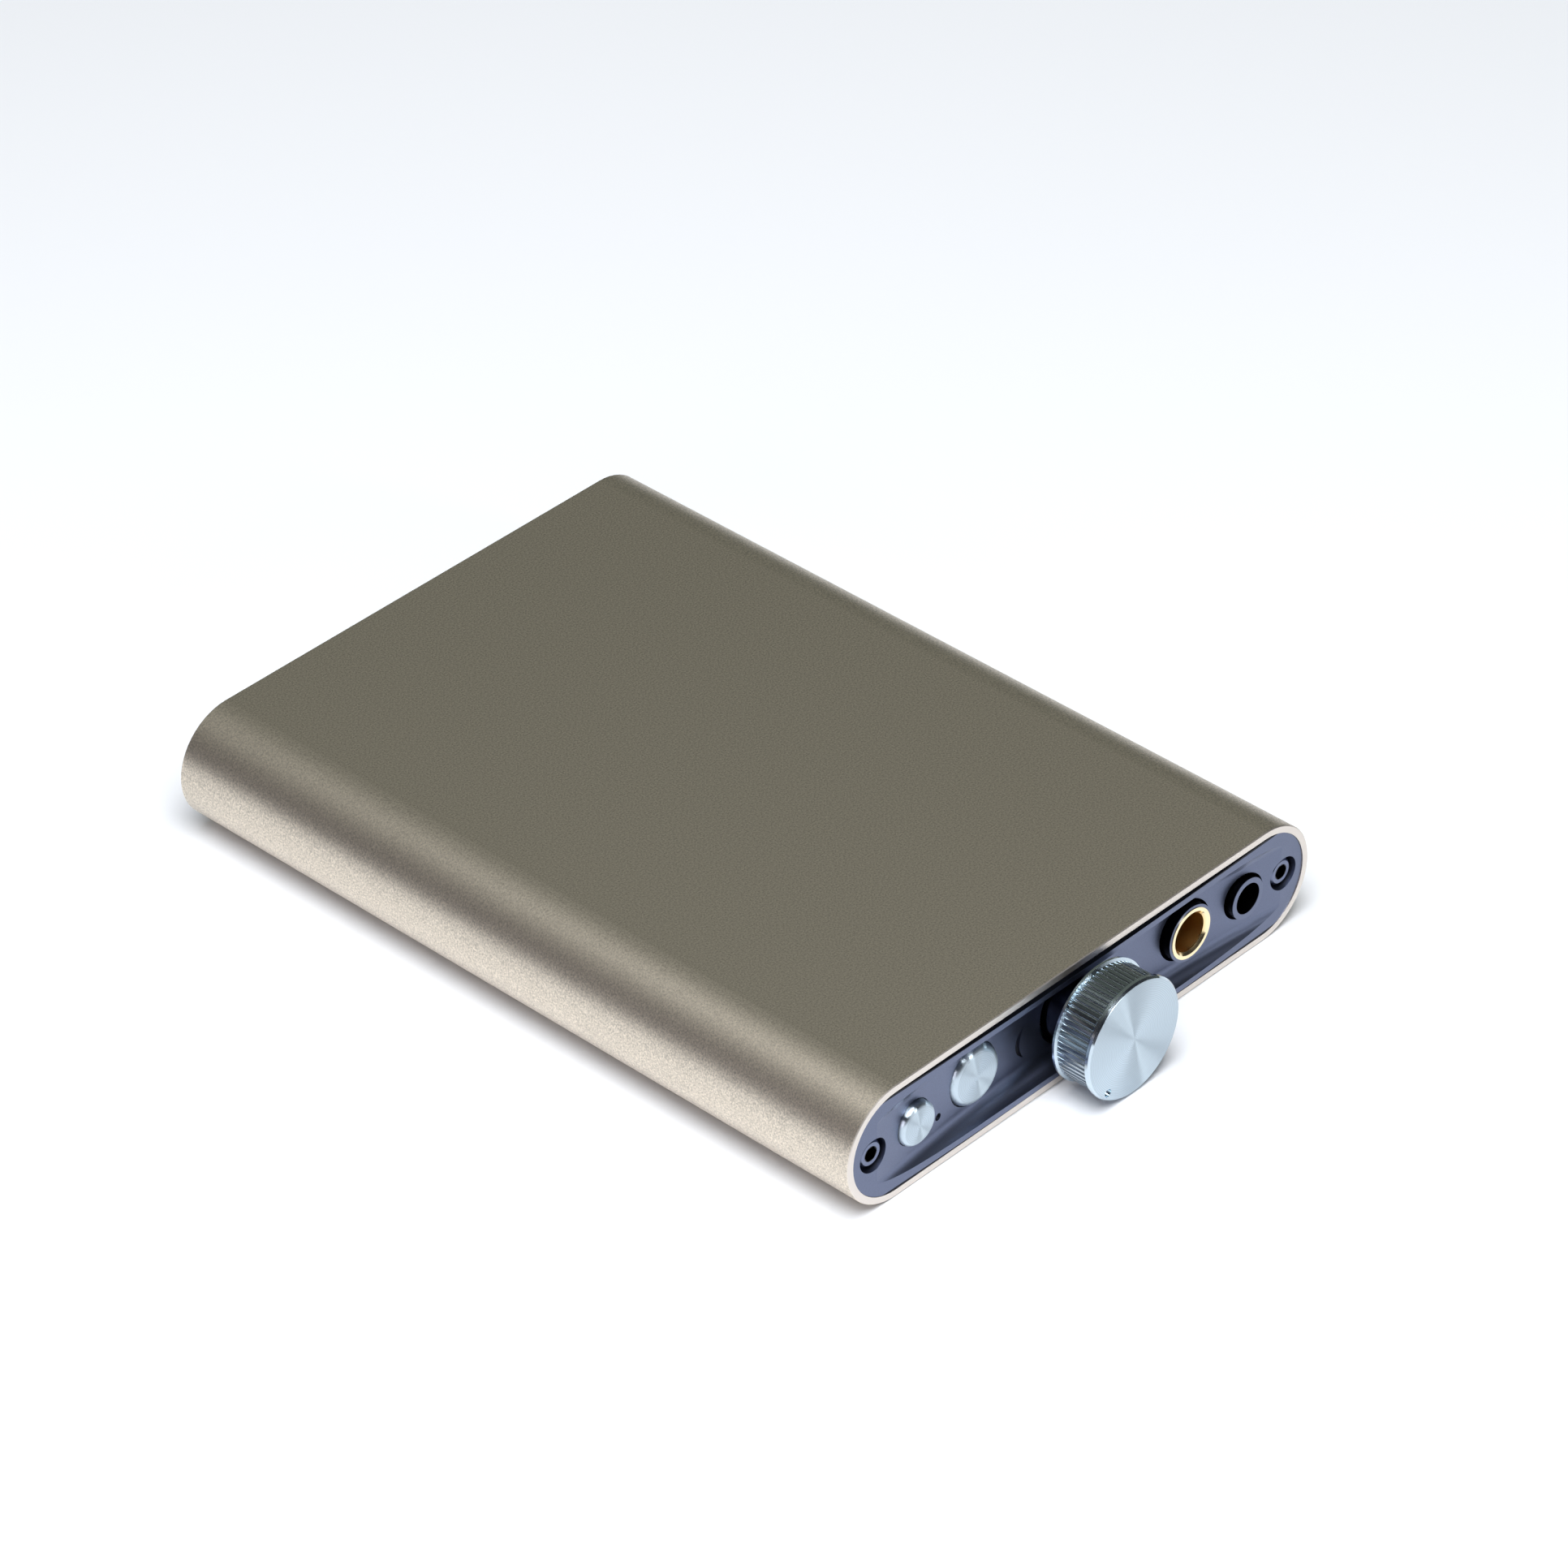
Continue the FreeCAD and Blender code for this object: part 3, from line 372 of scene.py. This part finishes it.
def plain_metal(name, colour, low, high):
    """Rolled or plated metal with faint streaks and a little unevenness."""
    finish = Finish(name, Metallic=1.0)
    streak = finish.noise(0.4 * MM, detail=4.0, place=finish.stretched((1.0, 0.25, 1.0)))
    cloud = finish.noise(3.2 * MM)
    finish.colour(finish.blend(cloud, shade(colour, 0.88), shade(colour, 1.04)))
    finish.roughness(finish.between(streak, low, high, 0.3, 0.7))
    finish.bump(streak, 0.002 * MM)
    return finish.material


# ---------------------------------------------------------------- plastics and the rest


def moulded(name, colour, roughness, grain=0.10 * MM, coat=0.0):
    """Moulded plastic with a spark-eroded texture."""
    finish = Finish(name, Coat_Weight=coat, Coat_Roughness=0.15)
    spark = finish.noise(grain, detail=3.0, rough=0.6)
    cloud = finish.noise(grain * 30)
    finish.colour(finish.blend(cloud, shade(colour, 0.85), shade(colour, 1.15)))
    finish.roughness(finish.between(spark, roughness - 0.06, roughness + 0.08, 0.3, 0.7))
    finish.bump(spark, 0.004 * MM)
    return finish.material


def light_pipe():
    """A smoked light pipe, dark while the light is off."""
    finish = Finish("light_pipe", Coat_Weight=0.1, Coat_Roughness=0.2, IOR=1.4)
    milk = finish.noise(0.5 * MM, detail=3.0)
    finish.colour(finish.blend(milk, (0.002, 0.002, 0.003), (0.006, 0.006, 0.008)))
    finish.roughness(finish.between(milk, 0.4, 0.5))
    finish.bump(milk, 0.004 * MM)
    return finish.material


def board_laminate():
    """A circuit board: dark solder mask over copper tracks that show as a faint relief."""
    finish = Finish("board_laminate", Coat_Weight=0.4, Coat_Roughness=0.2)
    tracks = finish.nodes.new("ShaderNodeTexBrick")
    finish.links.new(finish.stretched((1.0, 1.0, 0.0)), tracks.inputs["Vector"])
    tracks.inputs["Scale"].default_value = 1 / (1.6 * MM)
    tracks.inputs["Mortar Size"].default_value = 0.09
    weave = finish.noise(0.25 * MM, detail=3.0)
    mask = finish.blend(weave, (0.006, 0.035, 0.022), (0.012, 0.055, 0.034))
    finish.colour(finish.blend(tracks.outputs["Fac"], mask, (0.03, 0.11, 0.06)))
    finish.roughness(finish.between(weave, 0.30, 0.45))
    finish.bump(tracks.outputs["Fac"], 0.02 * MM)
    return finish.material


def wrapped_film():
    """Shrunk film round the battery: smooth, with shallow wrinkles along it."""
    finish = Finish("wrapped_film", Coat_Weight=0.5, Coat_Roughness=0.12)
    crease = finish.noise(6 * MM, detail=4.0, place=finish.stretched((1.0, 0.3, 1.0)))
    finish.colour(finish.blend(crease, (0.02, 0.05, 0.13), (0.035, 0.08, 0.19)))
    finish.roughness(finish.between(crease, 0.28, 0.42))
    finish.bump(crease, 0.25 * MM)
    return finish.material


def foam():
    """Open foam tape."""
    finish = Finish("foam", Sheen_Weight=0.3)
    cells = finish.nodes.new("ShaderNodeTexVoronoi")
    finish.links.new(finish.place, cells.inputs["Vector"])
    cells.inputs["Scale"].default_value = 1 / (0.5 * MM)
    finish.colour(finish.blend(cells.outputs["Distance"], (0.015, 0.015, 0.016), (0.06, 0.06, 0.062)))
    finish.roughness(0.9)
    finish.bump(cells.outputs["Distance"], 0.15 * MM)
    return finish.material


def dress_metals():
    dress(knob_metal(), "volume_knob")
    for name in ("small_button", "large_button"):
        dress(turned_silver(name, 0.26).material, name)
    dress(sleeve_metal(), "case_sleeve")
    dress(panel_metal(), "front_panel", "rear_panel")
    dress(screw_metal(), "front_screws", "rear_screws")
    dress(gold_plate(), "balanced_socket_ring", "balanced_contacts")
    for name in ("headphone_socket_collar", "balanced_socket_collar"):
        dress(collar_metal(name), name)
    tin = plain_metal("tin_plate", TIN, 0.18, 0.34)
    dress(tin, "headphone_contacts", "volume_control_pins", "usb_data_shell", "usb_charge_shell")
    dress(plain_metal("shaft_metal", STEEL, 0.20, 0.36), "volume_shaft", "volume_bush")
    dress(plain_metal("can_metal", CAN, 0.22, 0.36), "clock_oscillators", "can_capacitors")


def dress_plastics():
    black = moulded("black_plastic", (0.012, 0.012, 0.014), 0.38)
    dress(black, "headphone_socket", "balanced_socket", "usb_data_tongue", "usb_charge_tongue")
    switch = moulded("switch_plastic", (0.05, 0.05, 0.055), 0.45)
    dress(switch, "small_button_plunger", "small_button_switch")
    dark_switch = moulded("switch_plastic_dark", (0.04, 0.04, 0.045), 0.45)
    dress(dark_switch, "large_button_plunger", "large_button_switch")
    dress(moulded("control_plastic", (0.03, 0.10, 0.16), 0.42), "volume_control_body")
    dress(moulded("plug_plastic", (0.75, 0.73, 0.66), 0.42), "battery_plug")
    dress(moulded("red_wire", (0.55, 0.02, 0.015), 0.40), "battery_lead_red")
    dress(moulded("black_wire", (0.015, 0.015, 0.016), 0.40), "battery_lead_black")
    dress(light_pipe(), "power_light_pipe", "left_light_pipe", "right_light_pipe", "rear_light_pipe")


def dress_electronics():
    dress(board_laminate(), "main_board")
    chips = moulded("chip_resin", (0.022, 0.022, 0.024), 0.55, grain=0.06 * MM)
    dress(chips, "dac_chip", "usb_chip", "amplifier_chips", "power_inductor")
    dress(moulded("capacitor_resin", (0.36, 0.04, 0.03), 0.35, coat=0.3), "film_capacitors")
    dress(moulded("led_resin", (0.72, 0.70, 0.62), 0.30, coat=0.4), "front_leds", "rear_led")
    dress(wrapped_film(), "battery_pack")
    dress(foam(), "battery_pad")


# ---------------------------------------------------------------- studio

BACK_GLOW = (0.145, 0.155, 0.13)
LEFT_GLOW = (0.045, 0.04, 0.042)
FRONT_GLOW = (0.035, 0.035, 0.04)


def add_camera():
    azimuth = math.radians(VIEW_AZIMUTH)
    elevation = math.radians(VIEW_ELEVATION)
    back = Vector((
        math.sin(azimuth) * math.cos(elevation),
        -math.cos(azimuth) * math.cos(elevation),
        math.sin(elevation),
    ))
    camera = bpy.data.objects.new("camera", bpy.data.cameras.new("camera"))
    camera.data.sensor_width = 36
    camera.data.lens = VIEW_LENS
    camera.data.clip_start = 0.01
    camera.data.clip_end = 20
    camera.location = CENTRE + AIM_OFFSET + back * VIEW_DISTANCE
    roll = Quaternion((0, 0, 1), math.radians(VIEW_ROLL))
    camera.rotation_mode = "QUATERNION"
    camera.rotation_quaternion = (-back).to_track_quat("-Z", "Y") @ roll
    bpy.context.scene.collection.objects.link(camera)
    bpy.context.scene.camera = camera


def add_floor():
    finish = Finish("floor", Roughness=0.6)
    cloud = finish.noise(300 * MM)
    finish.colour(finish.blend(cloud, (0.85, 0.87, 0.90), (0.88, 0.90, 0.93)))
    half = FLOOR_SIDE / 2
    level = CAD_LOW.z - FLOOR_GAP
    mesh = bpy.data.meshes.new("floor")
    corners = [(-half, -half, level), (half, -half, level), (half, half, level), (-half, half, level)]
    mesh.from_pydata(corners, [], [(0, 1, 2, 3)])
    mesh.materials.append(finish.material)
    floor = bpy.data.objects.new("floor", mesh)
    bpy.context.scene.collection.objects.link(floor)


def add_softbox(name, place, side, power, colour):
    """A square area light that points at the object, at a place in metres from its centre."""
    light = bpy.data.lights.new(name, "AREA")
    light.shape = "SQUARE"
    light.size = side
    light.energy = power
    light.color = colour
    lamp = bpy.data.objects.new(name, light)
    lamp.location = CENTRE + Vector(place)
    lamp.rotation_mode = "QUATERNION"
    lamp.rotation_quaternion = (CENTRE - lamp.location).to_track_quat("-Z", "Y")
    bpy.context.scene.collection.objects.link(lamp)


def add_world():
    """A dim studio round the object: one colour behind it, and darker ones to its left and in front."""
    world = bpy.data.worlds.new("studio")
    world.use_nodes = True
    nodes = world.node_tree.nodes
    links = world.node_tree.links
    split = nodes.new("ShaderNodeSeparateXYZ")
    links.new(nodes.new("ShaderNodeTexCoord").outputs["Generated"], split.inputs[0])
    base = nodes.new("ShaderNodeRGB").outputs[0]
    base.default_value = paint(BACK_GLOW)
    for axis, glow, start, end in (("X", LEFT_GLOW, -0.25, -0.75), ("Y", FRONT_GLOW, 0.15, -0.45)):
        fade = nodes.new("ShaderNodeMapRange")
        fade.interpolation_type = "SMOOTHSTEP"
        fade.inputs["From Min"].default_value = start
        fade.inputs["From Max"].default_value = end
        links.new(split.outputs[axis], fade.inputs["Value"])
        blend = nodes.new("ShaderNodeMix")
        blend.data_type = "RGBA"
        links.new(fade.outputs["Result"], blend.inputs["Factor"])
        links.new(base, blend.inputs["A"])
        blend.inputs["B"].default_value = paint(glow)
        base = blend.outputs["Result"]
    links.new(base, nodes["Background"].inputs["Color"])
    bpy.context.scene.world = world


dress_metals()
dress_plastics()
dress_electronics()
add_camera()
add_floor()
add_world()
add_softbox("key_light", (-0.22, -0.20, 0.76), 0.60, 10.0, (0.97, 0.98, 1.0))
add_softbox("front_light", (0.26, -0.82, 0.28), 0.14, 0.8, (0.95, 0.98, 1.0))
add_softbox("left_light", (-0.80, -0.20, 0.20), 0.40, 1.5, (1.0, 0.92, 1.0))
bpy.context.scene.view_settings.view_transform = "Standard"
